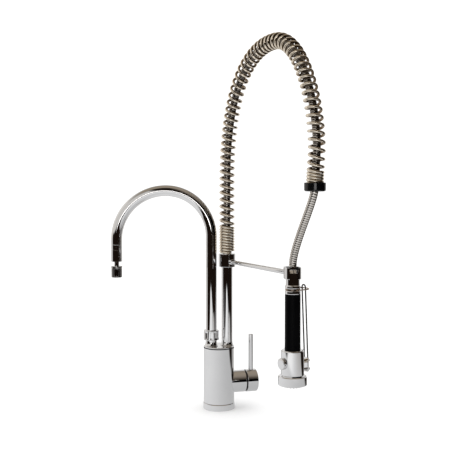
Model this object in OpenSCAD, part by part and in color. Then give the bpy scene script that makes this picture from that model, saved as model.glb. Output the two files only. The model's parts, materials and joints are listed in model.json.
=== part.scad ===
// Deck-mounted pre-rinse faucet: a swivel spout, a sprung riser with a hose arch,
// and a squeeze-lever spray head parked in a clip at the end of a side arm.
// Units are millimetres. The origin is the centre of the deck face, and +Z is up.

/* [Body] */
// Radius of the upright body
body_r = 30.5; // [29:0.5:34]
// Height of the body's flat top above the deck
body_top = 126; // [120:1:150]
// Thickness of the chromed body shell
shell_wall = 3; // [2:0.5:3]
// Thickness of the shell's top
shell_top = 5; // [4:0.5:8]
// Radius of the base ring
base_r = 31.4; // [31:0.2:36]
// Height of the base ring
base_h = 12.3; // [10:0.1:16]
// Thickness of the rubber seal under the base ring
seal_h = 2; // [1.5:0.5:3]
// Distance from the spout's axis to the body's axis
spout_offset = 16; // [15.5:0.5:17]
// Distance from the riser's axis to the body's axis
riser_offset = 16.8; // [16:0.4:18]

/* [Deck fixings] */
// Radius of the threaded hole for the mounting stud
stud_r = 4; // [3:0.5:5]
// Distance from the stud's axis to the body's axis
stud_offset = 13; // [11:0.5:15]
// Radius of each threaded water inlet
inlet_r = 5; // [4:0.5:6]
// Distance between the two inlets' axes
inlet_spacing = 21; // [18:0.5:24]
// Depth of the stud and inlet holes
port_depth = 18; // [14:1:20]

/* [Mixer handle] */
// Height of the hub's axis above the deck
hub_z = 51.5; // [48:0.5:60]
// Radius of the fixed hub
hub_r = 22; // [21.5:0.5:23]
// Distance from the body's axis to the hub's end
hub_end = 52.2; // [52.2:0.2:54]
// Radius of the ceramic cartridge
cartridge_r = 17.4; // [16.6:0.2:18]
// Width of the dark gap between the hub and the handle cap
gap_w = 3; // [2.6:0.2:3.6]
// Radius of the handle cap
cap_r = 22.4; // [22.4:0.2:24]
// Length of the handle cap
cap_len = 21.8; // [20:0.2:26]
// Radius of the lever pin where it leaves the cap
lever_r = 4.8; // [3.5:0.1:5]
// Height of the lever pin's tip above the hub's axis
lever_reach = 93.7; // [80:0.1:120]

/* [Spout] */
// Outer radius of the spout and riser tubes
tube_r = 11; // [10.8:0.1:11.2]
// Wall of the spout and riser tubes
tube_wall = 2; // [1.6:0.1:2.2]
// Direction that the spout points in, seen from above
spout_azimuth = 163; // [150:1:175]
// Radius of the bend's rising half at its centre line
rise_r = 90.3; // [86:0.1:94]
// Radius of the bend's falling half
fall_r = 97.8; // [94:0.1:102]
// Height at which the spout's bend starts
bend_z = 345.4; // [335:0.1:380]
// Drop of the spout's open end below the bend's start
outlet_drop = 27; // [24:0.1:34]
// Radius of the fluted collar nut
collar_r = 15.2; // [14.2:0.1:16]
// Height of the collar nut's lower face
collar_z = 138.4; // [136:0.1:150]
// Height of the collar nut
collar_h = 19.4; // [16:0.2:24]
// Number of flutes round the collar nut
collar_flutes = 10; // [8:1:16]

/* [Aerator] */
// Length of the sleeve at the spout's end
sleeve_len = 23.8; // [22:0.1:28]
// Radius of the swivel ball
ball_r = 8; // [7.6:0.1:8]
// Radius of the ball's neck
neck_r = 5; // [4:0.1:5]
// Radius of the aerator head
aerator_r = 10.5; // [10.2:0.1:12]
// Height of the aerator head
aerator_h = 22.2; // [20:0.1:26]
// Gap between the sleeve and the aerator head
neck_len = 9.2; // [9:0.1:12]

/* [Arm] */
// Direction that the spray arm points in, seen from above
arm_azimuth = -78; // [-90:1:-60]
// Distance from the riser's axis to the spray's axis
arm_reach = 240; // [230:1:250]
// Radius of the bracket on the riser
bracket_r = 16.8; // [15.6:0.1:17]
// Height of the bracket's lower face
bracket_z = 283.5; // [280:0.1:290]
// Height of the bracket
bracket_h = 26; // [24:0.1:30]
// Radius of the arm rod at its thin end
rod_r = 4.2; // [3.8:0.1:4.8]
// Radius of the arm rod at the clip
rod_end_r = 4.8; // [4.2:0.1:5.2]
// Outer radius of the spray clip
clip_r = 15.2; // [15:0.1:16]
// Height of the spray clip
clip_h = 20.8; // [20:0.1:26]
// Width of the clip's mouth
clip_mouth = 15.6; // [14:0.1:17]

/* [Spring and hose] */
// Mean radius of the spring's coils
coil_r = 12.9; // [12.7:0.1:13.2]
// Radius of the spring's wire
wire_r = 2.65; // [2.2:0.05:2.7]
// Highest point of the spring's centre line
arch_z = 710; // [690:1:740]
// Reach of the arch's highest point from the riser's axis
arch_top_reach = 181; // [175:1:190]
// Reach of the spring's lower end from the riser's axis
arch_reach = 308; // [304:1:312]
// Height of the end cap's lower face
end_cap_z = 440.8; // [436:0.1:446]
// Radius of the end cap
end_cap_r = 18.6; // [17.8:0.1:20]
// Height of the end cap
end_cap_h = 15; // [12:0.1:18]
// Radius of the hose
hose_r = 7.2; // [6.6:0.1:7.4]

/* [Spray] */
// Direction of the trigger from the spray's axis, seen from above
trigger_azimuth = 16; // [0:1:30]
// Height of the spray's face
face_z = 95.6; // [92:0.1:98]
// Radius of the face ring
face_r = 25.6; // [24:0.1:27]
// Height of the face ring
face_h = 16.6; // [15:0.1:18]
// Radius of the spray head
head_r = 20.6; // [19.8:0.1:21]
// Height of the spray head
head_h = 44.8; // [44:0.1:50]
// Radius of the black grip
grip_r = 14; // [13.6:0.1:14.4]
// Length of the black grip
grip_len = 98.6; // [80:0.1:110]
// Radius of the collar's two beads above the grip
bead_r = 14; // [13.8:0.1:14.2]
// Radius of the collar's neck in the clip
spray_neck_r = 12.4; // [12:0.1:12.5]
// Radius of the round knob
knob_r = 10.4; // [9:0.1:11]
// Number of rings of nozzles round the central one
nozzle_rings = 3; // [2:1:4]

/* [Trigger] */
// Radius of the trigger's wire
trigger_wire_r = 1.3; // [1:0.1:1.5]
// Distance between the trigger's two wires
trigger_w = 9.6; // [9:0.1:11]
// Distance of the trigger's pivot from the spray's axis
pivot_reach = 30.3; // [30:0.1:32]
// Height of the pivot above the spray's face
pivot_rise = 24.6; // [24:0.1:27]
// Height of the valve plunger and the knob above the spray's face
plunger_rise = 39.8; // [39:0.1:42]
// Length of the trigger above its pivot
trigger_len = 154; // [148:0.2:157]
// Distance of the trigger's tip from the spray's axis
tip_reach = 24.3; // [23.8:0.1:27]
// Radius of the hold-down bail's wire
bail_wire_r = 1.1; // [0.8:0.1:1.2]
// Reach of the hold-down bail from the spray's axis
bail_reach = 33; // [32.6:0.2:36]

/* [Hidden] */
$fn = 64;

chrome = "gainsboro";
steel = "darkgray";
brass = "goldenrod";
black = "dimgray";
plastic = "whitesmoke";

fit = 0.1; // clearance of a seat
run = 0.05; // radial clearance of a running fit
seam = 0.2; // visible joint line between turned parts

// Body
shell_in = body_r - shell_wall;
spigot_h = 3.8;
spigot_r = shell_in - fit;
base_bore = 24;
seal_in = 26;
seal_out = 29.2;
shell_z = base_h + seam;
block_z = 3;
block_foot_r = base_bore - fit;
block_foot_top = base_h + spigot_h + seam;
block_top = body_top - shell_top - fit;
stub_r = 8.4;
stub_len = 26;
waterway_r = 6;
stub_z = body_top - stub_len;

// Mixer handle
hub_bore_r = cartridge_r + 0.6;
cartridge_x = 8;
cartridge_shoulder = 36;
cartridge_end = 46;
cartridge_neck_r = 13.8;
rotor_r = 12;
rotor_seat = 30;
rotor_end = 47.2;
cap_x = hub_end + gap_w;
pivot_back = 11; // distance of the stem's pivot behind the cap's rim
stem_x = cap_x - pivot_back;
stem_w = 7;
stem_h = 7.8;
stem_back = 7.2;
stem_pin_r = 1.45;
cap_wall = 1.2;
cap_depth = 7.4;
stem_end = cap_x + cap_depth + 7.5;
ring_hole_r = cartridge_neck_r + 0.2;
ring_r = hub_r - 1.7;
pin_x = cap_x + 11.6;
pin_seat = cap_r - 5.2;
grub_r = 2.5;

// Spout
outlet_z = bend_z - outlet_drop; // height of the spout tube's open end
tube_bore = tube_r - tube_wall;
reach = rise_r + fall_r;
fall_z = bend_z + rise_r - fall_r; // height at which the bend ends
flange_r = tube_r + 1.4;
flange_h = 1.9;
flange_z = collar_z + 2.8;
foot_neck_r = tube_r + 0.4;
spigot_top = flange_z + 27;
o_ring_r = 0.8;
o_ring_mean = tube_bore - o_ring_r - 0.12;
o_ring_levels = [flange_z + 9, flange_z + 19];
foot_r = tube_r + 2.3;

// Aerator
sleeve_r = tube_r + 0.1;
sleeve_z = outlet_z - sleeve_len;
ball_z = sleeve_z + 7.4;
mouth_r = ball_r - 0.6;
aerator_top = sleeve_z - neck_len;
aerator_z = aerator_top - aerator_h;
aerator_bore = aerator_r - 1.7;
aerator_rim = 0.4; // how far the head's top rim stands out
aerator_rim_h = 3;

// Arm
bush_wall = 1;
bush_r = tube_r + run + bush_wall;
bracket_shoulder = 7.5; // depth of the bracket above the riser's end
riser_top = bracket_z + bracket_h - bracket_shoulder - 0.5;
bracket_top = bracket_z + bracket_h;
rod_z = bracket_z + 10.9;
boss_r = 5.5;
boss_seat = bracket_r - 1.4;
boss_end = bracket_r + 7.6;
rod_neck_end = bracket_r + 16;
clip_z = rod_z - clip_h / 2 + 0.5;
clip_back = 22;
clip_half_w = 10;
clip_spot = 1.4; // depth of the flat that the rod ends on
clip_bore = clip_r - 2;
clip_mouth_azimuth = -101;
rod_spigot = 8;
liner_bore = spray_neck_r + run;
hose_hole_r = hose_r + 0.6;
spigot_post_h = 21;

// Spring centre line, as [reach, height] in the arm's plane
spring_z = bracket_top + wire_r + run;
leg_z = 452;
leg_pull = 182;
top_pull = 96;
far_pull = 85;
bow_z = 514;
bow_pull = 73;
bow_out = 5; // how far the arch bows out beyond the spring's lower end
tail_pull = 19;
tail_z = 478;
spring_end_z = end_cap_z + 2.6 + wire_r + 0.2;
arch_left = [[0, leg_z], [0, leg_z + leg_pull], [arch_top_reach - top_pull, arch_z], [arch_top_reach, arch_z]];
arch_right = [[arch_top_reach, arch_z], [arch_top_reach + far_pull, arch_z],
    [arch_reach + bow_out, bow_z + bow_pull], [arch_reach + bow_out, bow_z]];
arch_tail = [[arch_reach + bow_out, bow_z], [arch_reach + bow_out, bow_z - tail_pull],
    [arch_reach, tail_z], [arch_reach, spring_end_z]];
close_pitch = 2 * wire_r + 0.2;
open_pitch = 13.9; // on the riser's side
wide_pitch = 15.4; // where the arch bends most
top_pitch = 12.1; // beyond the arch's highest point
far_pitch = 13.8; // on the spray's side
close_len = 49; // length of the close-wound start
// Pitch of the coils against distance along the centre line
pitch_table = [[0, close_pitch], [close_len, close_pitch], [close_len + 8, open_pitch], [200, open_pitch],
    [225, open_pitch - 0.4], [290, open_pitch - 0.2], [310, wide_pitch - 0.6], [345, wide_pitch],
    [385, wide_pitch - 1], [420, wide_pitch - 2], [435, top_pitch + 0.6], [460, top_pitch], [560, top_pitch],
    [585, top_pitch + 0.9], [620, far_pitch - 0.6], [650, far_pitch], [740, far_pitch],
    [790, far_pitch - 0.7], [797, close_pitch], [2000, close_pitch]];
coil_steps = 11; // straight pieces in each turn
coil_start = 0; // angle of the spring's first coil
spigot_post_r = (coil_r - wire_r) * cos(180 / coil_steps) - 0.15;
wire_sides = 6;
hose_sides = 12;
hose_step = 17;
hose_off = 1.6; // how far beside the end cap's centre the hose leaves it
hose_lean = 8; // pull of the hose's curve towards the spray
hose_sag = 28; // how far the hose keeps its direction below the end cap
hose_rise = 33.5; // and above the ferrule

// Spray
head_z = face_z + face_h + 1.4;
head_top = head_z + head_h;
grip_z = head_top + 0.2;
grip_top = grip_z + grip_len;
core_r = grip_r - 3.4;
core_bore = 8;
collar_base = grip_top + 0.2;
bead_h = 6.8;
groove_h = 3.2;
groove_r = 11.6;
bail_z = collar_base + bead_h + groove_h / 2;
band_r = bead_r - 0.6;
band_h = groove_h - 0.6;
neck_z = collar_base + 2 * bead_h + groove_h - 1.2;
neck_top = clip_z + 1.2;
nut_top = clip_z + clip_h - 4;
nut_cone = nut_top - 6;
ferrule_r = hose_r + 0.6;
ferrule_tail_r = 4;
ferrule_end = nut_top + 5.6;
face_bore = 19;
face_floor = face_z + 7.4;
plate_r = face_r - 2.7;
plate_h = 3;
nozzle_pitch = 5.4;
nozzle_len = 3.8;
nozzle_r = 1;
head_wall = 3.3;
head_in = head_r - head_wall;
head_roof = 13;
valve_r = head_in - 0.2;
valve_top = head_top - head_roof - fit;
knob_gap = 0.4;
knob_seat = head_r + 0.4;
knob_len = 4.8;
knob_back = 8.4;
knob_stem_r = 3;

// Trigger
pivot_z = face_z + pivot_rise;
plunger_z = face_z + plunger_rise;
knob_z = plunger_z;
post_r = 2.1;
post_head_r = 2.9;
boss_reach = head_r + 1.7;
side_boss_r = 5;
yoke_t = 2.2;
yoke_w = 14.4;
yoke_top = pivot_z + 21.4;
yoke_bottom = pivot_z - 4.4;
yoke_gap = 0.3;
cap_gap = 0.4;
post_end = pivot_reach + 7.2;
plunger_flange_r = 3.6;
plunger_back = 9;
return_r = 3.5;
return_wire = 0.7;
return_turns = 6;
spring_seat = head_in + 0.4;
tip_z = pivot_z + trigger_len;
bail_half_w = bead_r + bail_wire_r + 0.3;
bail_hole_depth = 1.6;

// Helpers
function arc(c, r, from, to, n = 4) =
    [for (i = [0 : n]) c + r * [cos(from + (to - from) * i / n), sin(from + (to - from) * i / n)]];
function bezier(p, t) = pow(1 - t, 3) * p[0] + 3 * pow(1 - t, 2) * t * p[1]
    + 3 * (1 - t) * t * t * p[2] + pow(t, 3) * p[3];
function curve(p, n) = [for (i = [1 : n]) bezier(p, i / n)];
function unit(v) = v / norm(v);

module turned(points) rotate_extrude() polygon(points);

// A disc with rounded edges, from height z to z + h
module puck(r, h, z = 0, edge = 0.6, bore = 0)
    turned(concat([[bore, z]], arc([r - edge, z + edge], edge, -90, 0),
        arc([r - edge, z + h - edge], edge, 0, 90), [[bore, z + h]]));

module tube(outer, inner, z, top)
    turned([[inner, z], [outer, z], [outer, top], [inner, top]]);

module hub_place() translate([0, 0, hub_z]) rotate([0, 90, 0]) children();
module spout_place() translate([-spout_offset, 0, 0]) rotate(spout_azimuth) children();
module outlet_place() spout_place() translate([reach, 0, 0]) children();
module riser_place() translate([riser_offset, 0, 0]) children();
module arm_place() riser_place() rotate(arm_azimuth) children();
module spray_place() arm_place() translate([arm_reach, 0, 0])
    rotate(trigger_azimuth - arm_azimuth) children();
// A rod along +X at height z, from x0 to x1
module along_x(r, x0, x1, z = 0, r2 = -1)
    translate([x0, 0, z]) rotate([0, 90, 0]) cylinder(r1 = r, r2 = r2 < 0 ? r : r2, h = x1 - x0);

// A tube swept along 3-D points; refs are vectors that start each ring
module sweep(points, refs, r, sides) {
    n = len(points);
    along = [for (i = [0 : n - 1]) unit(points[min(i + 1, n - 1)] - points[max(i - 1, 0)])];
    rings = [for (i = [0 : n - 1])
        let (u = unit(refs[i] - (refs[i] * along[i]) * along[i]), v = cross(along[i], u))
        for (k = [0 : sides - 1])
            points[i] + r * (cos(360 * k / sides) * u + sin(360 * k / sides) * v)];
    walls = [for (i = [0 : n - 2]) for (k = [0 : sides - 1])
        let (a = i * sides + k, b = i * sides + (k + 1) % sides)
        for (f = [[a, a + sides, b], [b, a + sides, b + sides]]) f];
    polyhedron(rings, concat(walls, [[for (k = [0 : sides - 1]) k]],
        [[for (k = [sides - 1 : -1 : 0]) (n - 1) * sides + k]]));
}

// Fixed body
module base_ring() color(chrome)
    turned([[base_bore, 0], [seal_in, 0], [seal_in, seal_h], [seal_out, seal_h], [seal_out, 0],
        [base_r - 0.6, 0], [base_r, 0.6], [base_r, base_h - 0.9], [base_r - 0.9, base_h],
        [spigot_r, base_h], [spigot_r, base_h + spigot_h], [base_bore, base_h + spigot_h]]);

module base_seal() color(black) tube(seal_out - run, seal_in + run, 0, seal_h - run);

module body_shell() color(chrome) difference() {
    union() {
        turned(concat([[0, shell_z], [body_r - 0.4, shell_z], [body_r, shell_z + 0.4]],
            arc([body_r - 1, body_top - 1], 1, 0, 90), [[0, body_top]]));
        hub_place() turned(concat([[0, body_r - 14], [hub_r, body_r - 14]],
            arc([hub_r - 0.9, hub_end - 0.9], 0.9, 0, 90), [[0, hub_end]]));
    }
    translate([0, 0, shell_z - 1]) cylinder(r = shell_in, h = body_top - shell_top - shell_z + 1);
    hub_place() cylinder(r = hub_bore_r, h = hub_end + 1);
    for (x = [-spout_offset, riser_offset])
        translate([x, 0, body_top - shell_top - 1]) cylinder(r = stub_r + fit, h = shell_top + 2);
}

module water_block() color(brass) difference() {
    union() {
        tube(block_foot_r, 0, block_z, block_foot_top);
        tube(shell_in - fit, 0, block_foot_top, block_top);
    }
    hub_place() translate([0, 0, cartridge_x]) cylinder(r = cartridge_r + fit, h = body_r);
    for (x = [-spout_offset, riser_offset])
        translate([x, 0, stub_z - 0.5]) cylinder(r = stub_r + fit, h = stub_len);
    translate([0, -stud_offset, block_z - 1]) cylinder(r = stud_r, h = port_depth + 1);
    for (side = [-1, 1])
        translate([side * inlet_spacing / 2, 6, block_z - 1]) cylinder(r = inlet_r, h = port_depth + 1);
}

module cartridge_body() color(plastic) hub_place()
    turned([[0, cartridge_x + fit], [cartridge_r, cartridge_x + fit], [cartridge_r, cartridge_shoulder],
        [cartridge_neck_r, cartridge_shoulder], [cartridge_neck_r, cartridge_end],
        [rotor_r + run, cartridge_end], [rotor_r + run, rotor_seat], [0, rotor_seat]]);

module cartridge_nut() color(brass) hub_place()
    tube(hub_bore_r - fit, cartridge_neck_r + fit, cartridge_shoulder + fit, cartridge_end - 2);

module gap_ring() color(black) hub_place()
    turned([[ring_hole_r, cartridge_end + fit], [hub_bore_r - fit, cartridge_end + fit],
        [hub_bore_r - fit, hub_end + run], [ring_r, hub_end + run],
        [ring_r, cap_x - 0.2], [ring_hole_r, cap_x - 0.2]]);

module spout_foot() color(chrome) translate([-spout_offset, 0, 0]) difference() {
    turned([[0, stub_z], [stub_r, stub_z], [stub_r, body_top], [foot_r, body_top],
        [foot_r, body_top + 1.2], [foot_neck_r, collar_z - 2.4], [foot_neck_r, flange_z - fit],
        [tube_bore - run, flange_z - fit], [tube_bore - run, spigot_top - 0.8],
        [tube_bore - run - 0.8, spigot_top], [0, spigot_top]]);
    translate([0, 0, stub_z - 1]) cylinder(r = waterway_r, h = spigot_top - stub_z + 2);
    for (z = o_ring_levels) tube(tube_r, o_ring_mean - o_ring_r - 0.03, z - o_ring_r - 0.1, z + o_ring_r + 0.1);
}

module spout_collar() color(chrome) translate([-spout_offset, 0, 0]) difference() {
    puck(collar_r, collar_h, collar_z, 0.8);
    translate([0, 0, collar_z - 1]) cylinder(r = foot_neck_r + fit, h = flange_z - collar_z + 1.2);
    translate([0, 0, flange_z - fit]) cylinder(r = flange_r + fit, h = flange_h + 2 * fit);
    translate([0, 0, collar_z]) cylinder(r = tube_r + run, h = collar_h + 1);
    for (i = [0 : collar_flutes - 1]) rotate(i * 360 / collar_flutes)
        translate([collar_r + 1.5, 0, collar_z + 1.6]) cylinder(r = 2.4, h = collar_h - 3.2, $fn = 32);
}

module spout_o_rings() color(black) translate([-spout_offset, 0, 0])
    for (z = o_ring_levels) translate([0, 0, z]) rotate_extrude()
        translate([o_ring_mean, 0]) circle(r = o_ring_r, $fn = 24);

module riser_foot() color(chrome) riser_place() difference() {
    turned([[0, stub_z], [stub_r, stub_z], [stub_r, body_top], [foot_r, body_top],
        [foot_r, body_top + 1], [tube_r + 0.5, body_top + 6], [tube_r + 0.2, body_top + 7],
        [tube_bore - run, body_top + 7], [tube_bore - run, body_top + 24], [0, body_top + 24]]);
    translate([0, 0, stub_z - 1]) cylinder(r = hose_r + 0.3, h = stub_len + 26);
}

module riser_pipe() color(chrome) riser_place() difference() {
    tube(tube_r, tube_bore, body_top + 7 + run, riser_top);
    tube(tube_r + 1, tube_r - 0.9, rod_z - 2.6, rod_z + 2.6);
}

// Swivel spout
module spout_path(r, extra = 0) {
    translate([0, 0, flange_z - extra]) cylinder(r = r, h = bend_z - flange_z + extra);
    translate([rise_r, 0, bend_z]) rotate([90, 0, 0]) rotate([0, 0, 90])
        rotate_extrude(angle = 90) translate([rise_r, 0]) circle(r = r);
    translate([rise_r, 0, fall_z]) rotate([90, 0, 0])
        rotate_extrude(angle = 90) translate([fall_r, 0]) circle(r = r);
    translate([reach, 0, outlet_z - extra]) cylinder(r = r, h = fall_z - outlet_z + extra);
}

module spout_tube() color(chrome) spout_place() difference() {
    union() {
        spout_path(tube_r);
        tube(flange_r, tube_bore, flange_z, flange_z + flange_h);
    }
    spout_path(tube_bore, 1);
}

module outlet_sleeve() color(chrome) outlet_place() difference() {
    turned([[0, sleeve_z], [sleeve_r - 0.5, sleeve_z], [sleeve_r, sleeve_z + 0.5],
        [sleeve_r, outlet_z - seam - 0.4], [sleeve_r - 0.4, outlet_z - seam],
        [tube_bore - run, outlet_z - seam], [tube_bore - run, outlet_z + 9], [0, outlet_z + 9]]);
    translate([0, 0, ball_z]) sphere(r = ball_r + run);
    translate([0, 0, ball_z]) cylinder(r = ball_r + run, h = sleeve_len + 10);
    translate([0, 0, sleeve_z - 1]) cylinder(r = mouth_r, h = ball_z - sleeve_z - 2);
}

module ball_seat() color(plastic) outlet_place() difference() {
    translate([0, 0, ball_z + 1.4]) cylinder(r = ball_r, h = 8.6);
    translate([0, 0, ball_z]) sphere(r = ball_r + run);
    translate([0, 0, ball_z]) cylinder(r = 4.5, h = 12);
}

module aerator_ball() color(chrome) outlet_place() difference() {
    union() {
        translate([0, 0, ball_z]) sphere(r = ball_r);
        translate([0, 0, aerator_top - 5]) cylinder(r = neck_r, h = ball_z - aerator_top + 5);
    }
    translate([0, 0, aerator_z]) cylinder(r = 3, h = 2 * aerator_h + 20);
}

module aerator_head() color(steel) outlet_place() difference() {
    union() {
        puck(aerator_r, aerator_h, aerator_z, 0.7);
        puck(aerator_r + aerator_rim, aerator_rim_h, aerator_top - aerator_rim_h, 0.3);
    }
    translate([0, 0, aerator_z - 1]) cylinder(r = aerator_bore, h = aerator_h - 4.4);
    translate([0, 0, aerator_z]) cylinder(r = neck_r + run, h = aerator_h + 1);
    for (i = [0 : 23]) rotate(i * 15)
        translate([aerator_r + 0.5, 0, aerator_z + 1.6]) cylinder(r = 0.8, h = aerator_h - aerator_rim_h - 2.2, $fn = 24);
}

module aerator_insert() color(plastic) outlet_place() difference() {
    tube(aerator_bore - fit, 0, aerator_z + 1.4, aerator_z + 12);
    for (ring = [0 : 2]) for (i = [0 : max(0, 6 * ring - 1)]) rotate(i * 60 / max(1, ring))
        translate([ring * 3, 0, aerator_z]) cylinder(r = 0.9, h = 14, $fn = 24);
}

module aerator_seal() color(black) outlet_place()
    tube(aerator_bore - fit, neck_r + 0.6, aerator_z + 12 + run, aerator_z + 14);

// Mixer handle
module cartridge_rotor() color(brass) hub_place() difference() {
    tube(rotor_r, 0, rotor_seat + fit, rotor_end);
    translate([-rotor_r - 1, -stem_w / 2 - 0.2, stem_x - stem_back - 2])
        cube([2 * rotor_r + 2, stem_w + 0.4, rotor_end]);
    translate([0, 0, stem_x]) rotate([90, 0, 0]) cylinder(r = stem_pin_r + run, h = 3 * rotor_r, center = true);
}

module stem_pin() color(steel) hub_place() translate([0, 0, stem_x]) rotate([90, 0, 0])
    cylinder(r = stem_pin_r, h = 2 * rotor_r - 2, center = true);

module cartridge_stem() color(steel) hub_place() difference() {
    translate([-stem_h / 2, -stem_w / 2, stem_x - stem_back]) cube([stem_h, stem_w, stem_end - stem_x + stem_back]);
    translate([0, 0, stem_x]) rotate([90, 0, 0]) cylinder(r = stem_pin_r + run, h = 3 * rotor_r, center = true);
}

module handle_cap() color(chrome) hub_place() difference() {
    turned(concat([[0, cap_x + cap_depth], [cap_r - cap_wall, cap_x + cap_depth], [cap_r - cap_wall, cap_x],
        [cap_r - 0.4, cap_x], [cap_r, cap_x + 0.4]],
        arc([cap_r - 1, cap_x + cap_len - 1], 1, 0, 90), [[0, cap_x + cap_len]]));
    translate([-stem_h / 2 - run, -stem_w / 2 - run, cap_x]) cube([stem_h + 2 * run, stem_w + 2 * run, stem_end - cap_x + fit]);
    translate([-cap_r - 1, 0, pin_x]) rotate([0, 90, 0]) cylinder(r = lever_r + run, h = cap_r + 1 - pin_seat);
    translate([0, 0, pin_x]) rotate([0, 90, 0]) cylinder(r = grub_r + run, h = cap_r + 1);
}

module lever_pin() color(chrome) translate([pin_x, 0, hub_z])
    turned(concat([[0, pin_seat + run], [lever_r, pin_seat + run]],
        arc([lever_r - 1.1, lever_reach - 0.8], 0.8, 0, 90), [[0, lever_reach]]));

module handle_grub_screw() color(steel) translate([pin_x, 0, hub_z]) rotate([180, 0, 0]) difference() {
    tube(grub_r, 0, stem_h / 2 + fit, cap_r - 1.4);
    translate([0, 0, cap_r - 4]) cylinder(r = 1.4, h = 4, $fn = 6);
}

// Arm, spring and hose
module arm_bracket() color(chrome) arm_place() difference() {
    union() {
        puck(bracket_r, bracket_h, bracket_z, 0.7);
        tube(spigot_post_r, 0, bracket_top - 1, bracket_top + spigot_post_h);
    }
    translate([0, 0, bracket_z - 1]) cylinder(r = bush_r, h = bracket_h - bracket_shoulder + 1);
    translate([0, 0, bracket_z]) cylinder(r = hose_hole_r, h = bracket_h + spigot_post_h + 1);
    along_x(boss_r + run, boss_seat, bracket_r + 2, rod_z);
    along_x(2.9 + run, bush_r - 1, boss_seat + 1, rod_z);
    mirror([1, 0, 0]) along_x(grub_r + run, bush_r - 1, bracket_r + 1, rod_z);
}

module bracket_bush() color(plastic) arm_place() difference() {
    tube(bush_r - 0.02, tube_r + run, bracket_z + 0.4, riser_top);
    mirror([1, 0, 0]) along_x(grub_r + run, tube_r - 1, bracket_r, rod_z);
}

module arm_set_screw() color(steel) arm_place() mirror([1, 0, 0]) difference() {
    union() {
        along_x(grub_r, tube_r + 0.3, bracket_r - 0.6, rod_z);
        along_x(1.8, tube_r - 0.6, tube_r + 1, rod_z);
    }
    translate([bracket_r - 3.4, 0, rod_z]) rotate([0, 90, 0]) cylinder(r = 1.4, h = 4, $fn = 6);
}

module arm_boss() color(chrome) arm_place() difference() {
    translate([0, 0, rod_z]) rotate([0, 90, 0])
        turned([[0, bush_r + 0.3], [2.9, bush_r + 0.3], [2.9, boss_seat + run], [boss_r, boss_seat + run],
            [boss_r, boss_end - 0.7], [boss_r - 0.7, boss_end], [0, boss_end]]);
    along_x(2 + run, boss_end - 5, boss_end + 1, rod_z);
}

module arm_rod() color(chrome) arm_place() {
    translate([0, 0, rod_z]) rotate([0, 90, 0])
        turned([[0, boss_end - 4.8], [2, boss_end - 4.8], [2, boss_end + run], [3.4, boss_end + run],
            [3.4, rod_neck_end], [rod_r, rod_neck_end + 1.2], [rod_end_r, arm_reach - clip_back + clip_spot - run],
            [3, arm_reach - clip_back + clip_spot - run], [3, arm_reach - clip_back + rod_spigot],
            [0, arm_reach - clip_back + rod_spigot]]);
}

module clip_mouth_cut(w, x0, z, h) rotate(clip_mouth_azimuth - arm_azimuth)
    translate([x0, -w / 2, z]) cube([2 * clip_r, w, h]);

module holder_clip() color(chrome) arm_place() translate([arm_reach, 0, 0]) difference() {
    union() {
        puck(clip_r, clip_h, clip_z, 0.6);
        translate([clip_half_w - clip_back, 0, clip_z]) cylinder(r = clip_half_w, h = clip_h);
        translate([clip_half_w - clip_back, -clip_half_w, clip_z])
            cube([clip_back - clip_half_w, 2 * clip_half_w, clip_h]);
    }
    translate([0, 0, clip_z - 1]) cylinder(r = clip_bore, h = clip_h + 2);
    clip_mouth_cut(clip_mouth, 0, clip_z - 1, clip_h + 2);
    along_x(3 + run, -clip_back - 1, -clip_back + rod_spigot + fit, rod_z);
    along_x(rod_end_r + fit, -clip_back - 1, -clip_back + clip_spot, rod_z);
}

module holder_liner() color(black) arm_place() translate([arm_reach, 0, 0]) difference() {
    tube(clip_bore - run, liner_bore, clip_z + 1, clip_z + clip_h - 1);
    clip_mouth_cut(clip_mouth + 2, 0, clip_z, clip_h);
}

// Spring centre line and the stations of its coils
spine = concat([[0, spring_z]], [for (i = [1 : 8]) [0, spring_z + (leg_z - spring_z) * i / 8]],
    curve(arch_left, 28), curve(arch_right, 22), curve(arch_tail, 8));
spine_steps = [for (i = 0, s = 0; i < len(spine); s = s + (i + 1 < len(spine) ? norm(spine[i + 1] - spine[i]) : 0),
    i = i + 1) s];
spine_len = spine_steps[len(spine) - 1];
reach_table = [for (i = [0 : len(spine) - 1]) [spine_steps[i], spine[i][0]]];
height_table = [for (i = [0 : len(spine) - 1]) [spine_steps[i], spine[i][1]]];
function spine_at(s) = [lookup(s, reach_table), 0, lookup(s, height_table)];
function spine_along(s) = unit(spine_at(min(s + 2, spine_len)) - spine_at(max(s - 2, 0)));
coil_stations = [for (s = 0; s < spine_len; s = s + lookup(s, pitch_table) / coil_steps) s];
function coil_out(i) = let (t = spine_along(coil_stations[i]), n = cross([0, 1, 0], t), a = 360 * i / coil_steps + coil_start)
    cos(a) * n - sin(a) * [0, 1, 0];

module coil_spring() color("silver") arm_place() {
    n = len(coil_stations);
    sweep([for (i = [0 : n - 1]) spine_at(coil_stations[i]) + coil_r * coil_out(i)],
        [for (i = [0 : n - 1]) coil_out(i)], wire_r, wire_sides);
}

module spring_end_cap() color(black) arm_place() translate([arch_reach, 0, 0]) difference() {
    turned(concat([[0, end_cap_z]], arc([end_cap_r - 3.2, end_cap_z + 3.2], 3.2, -90, 0, 6),
        arc([end_cap_r - 0.8, end_cap_z + end_cap_h - 0.8], 0.8, 0, 90), [[0, end_cap_z + end_cap_h]]));
    translate([0, 0, end_cap_z + 2.6]) cylinder(r = coil_r + wire_r + 0.3, h = end_cap_h);
    translate([0, 0, end_cap_z - 1]) cylinder(r = hose_r + 2.65, h = end_cap_h);
}

module cap_grommet() color(black) arm_place() translate([arch_reach, 0, 0])
    tube(hose_r + 2.6, hose_r + 1.8, end_cap_z + 0.8, end_cap_z + 6);

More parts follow.
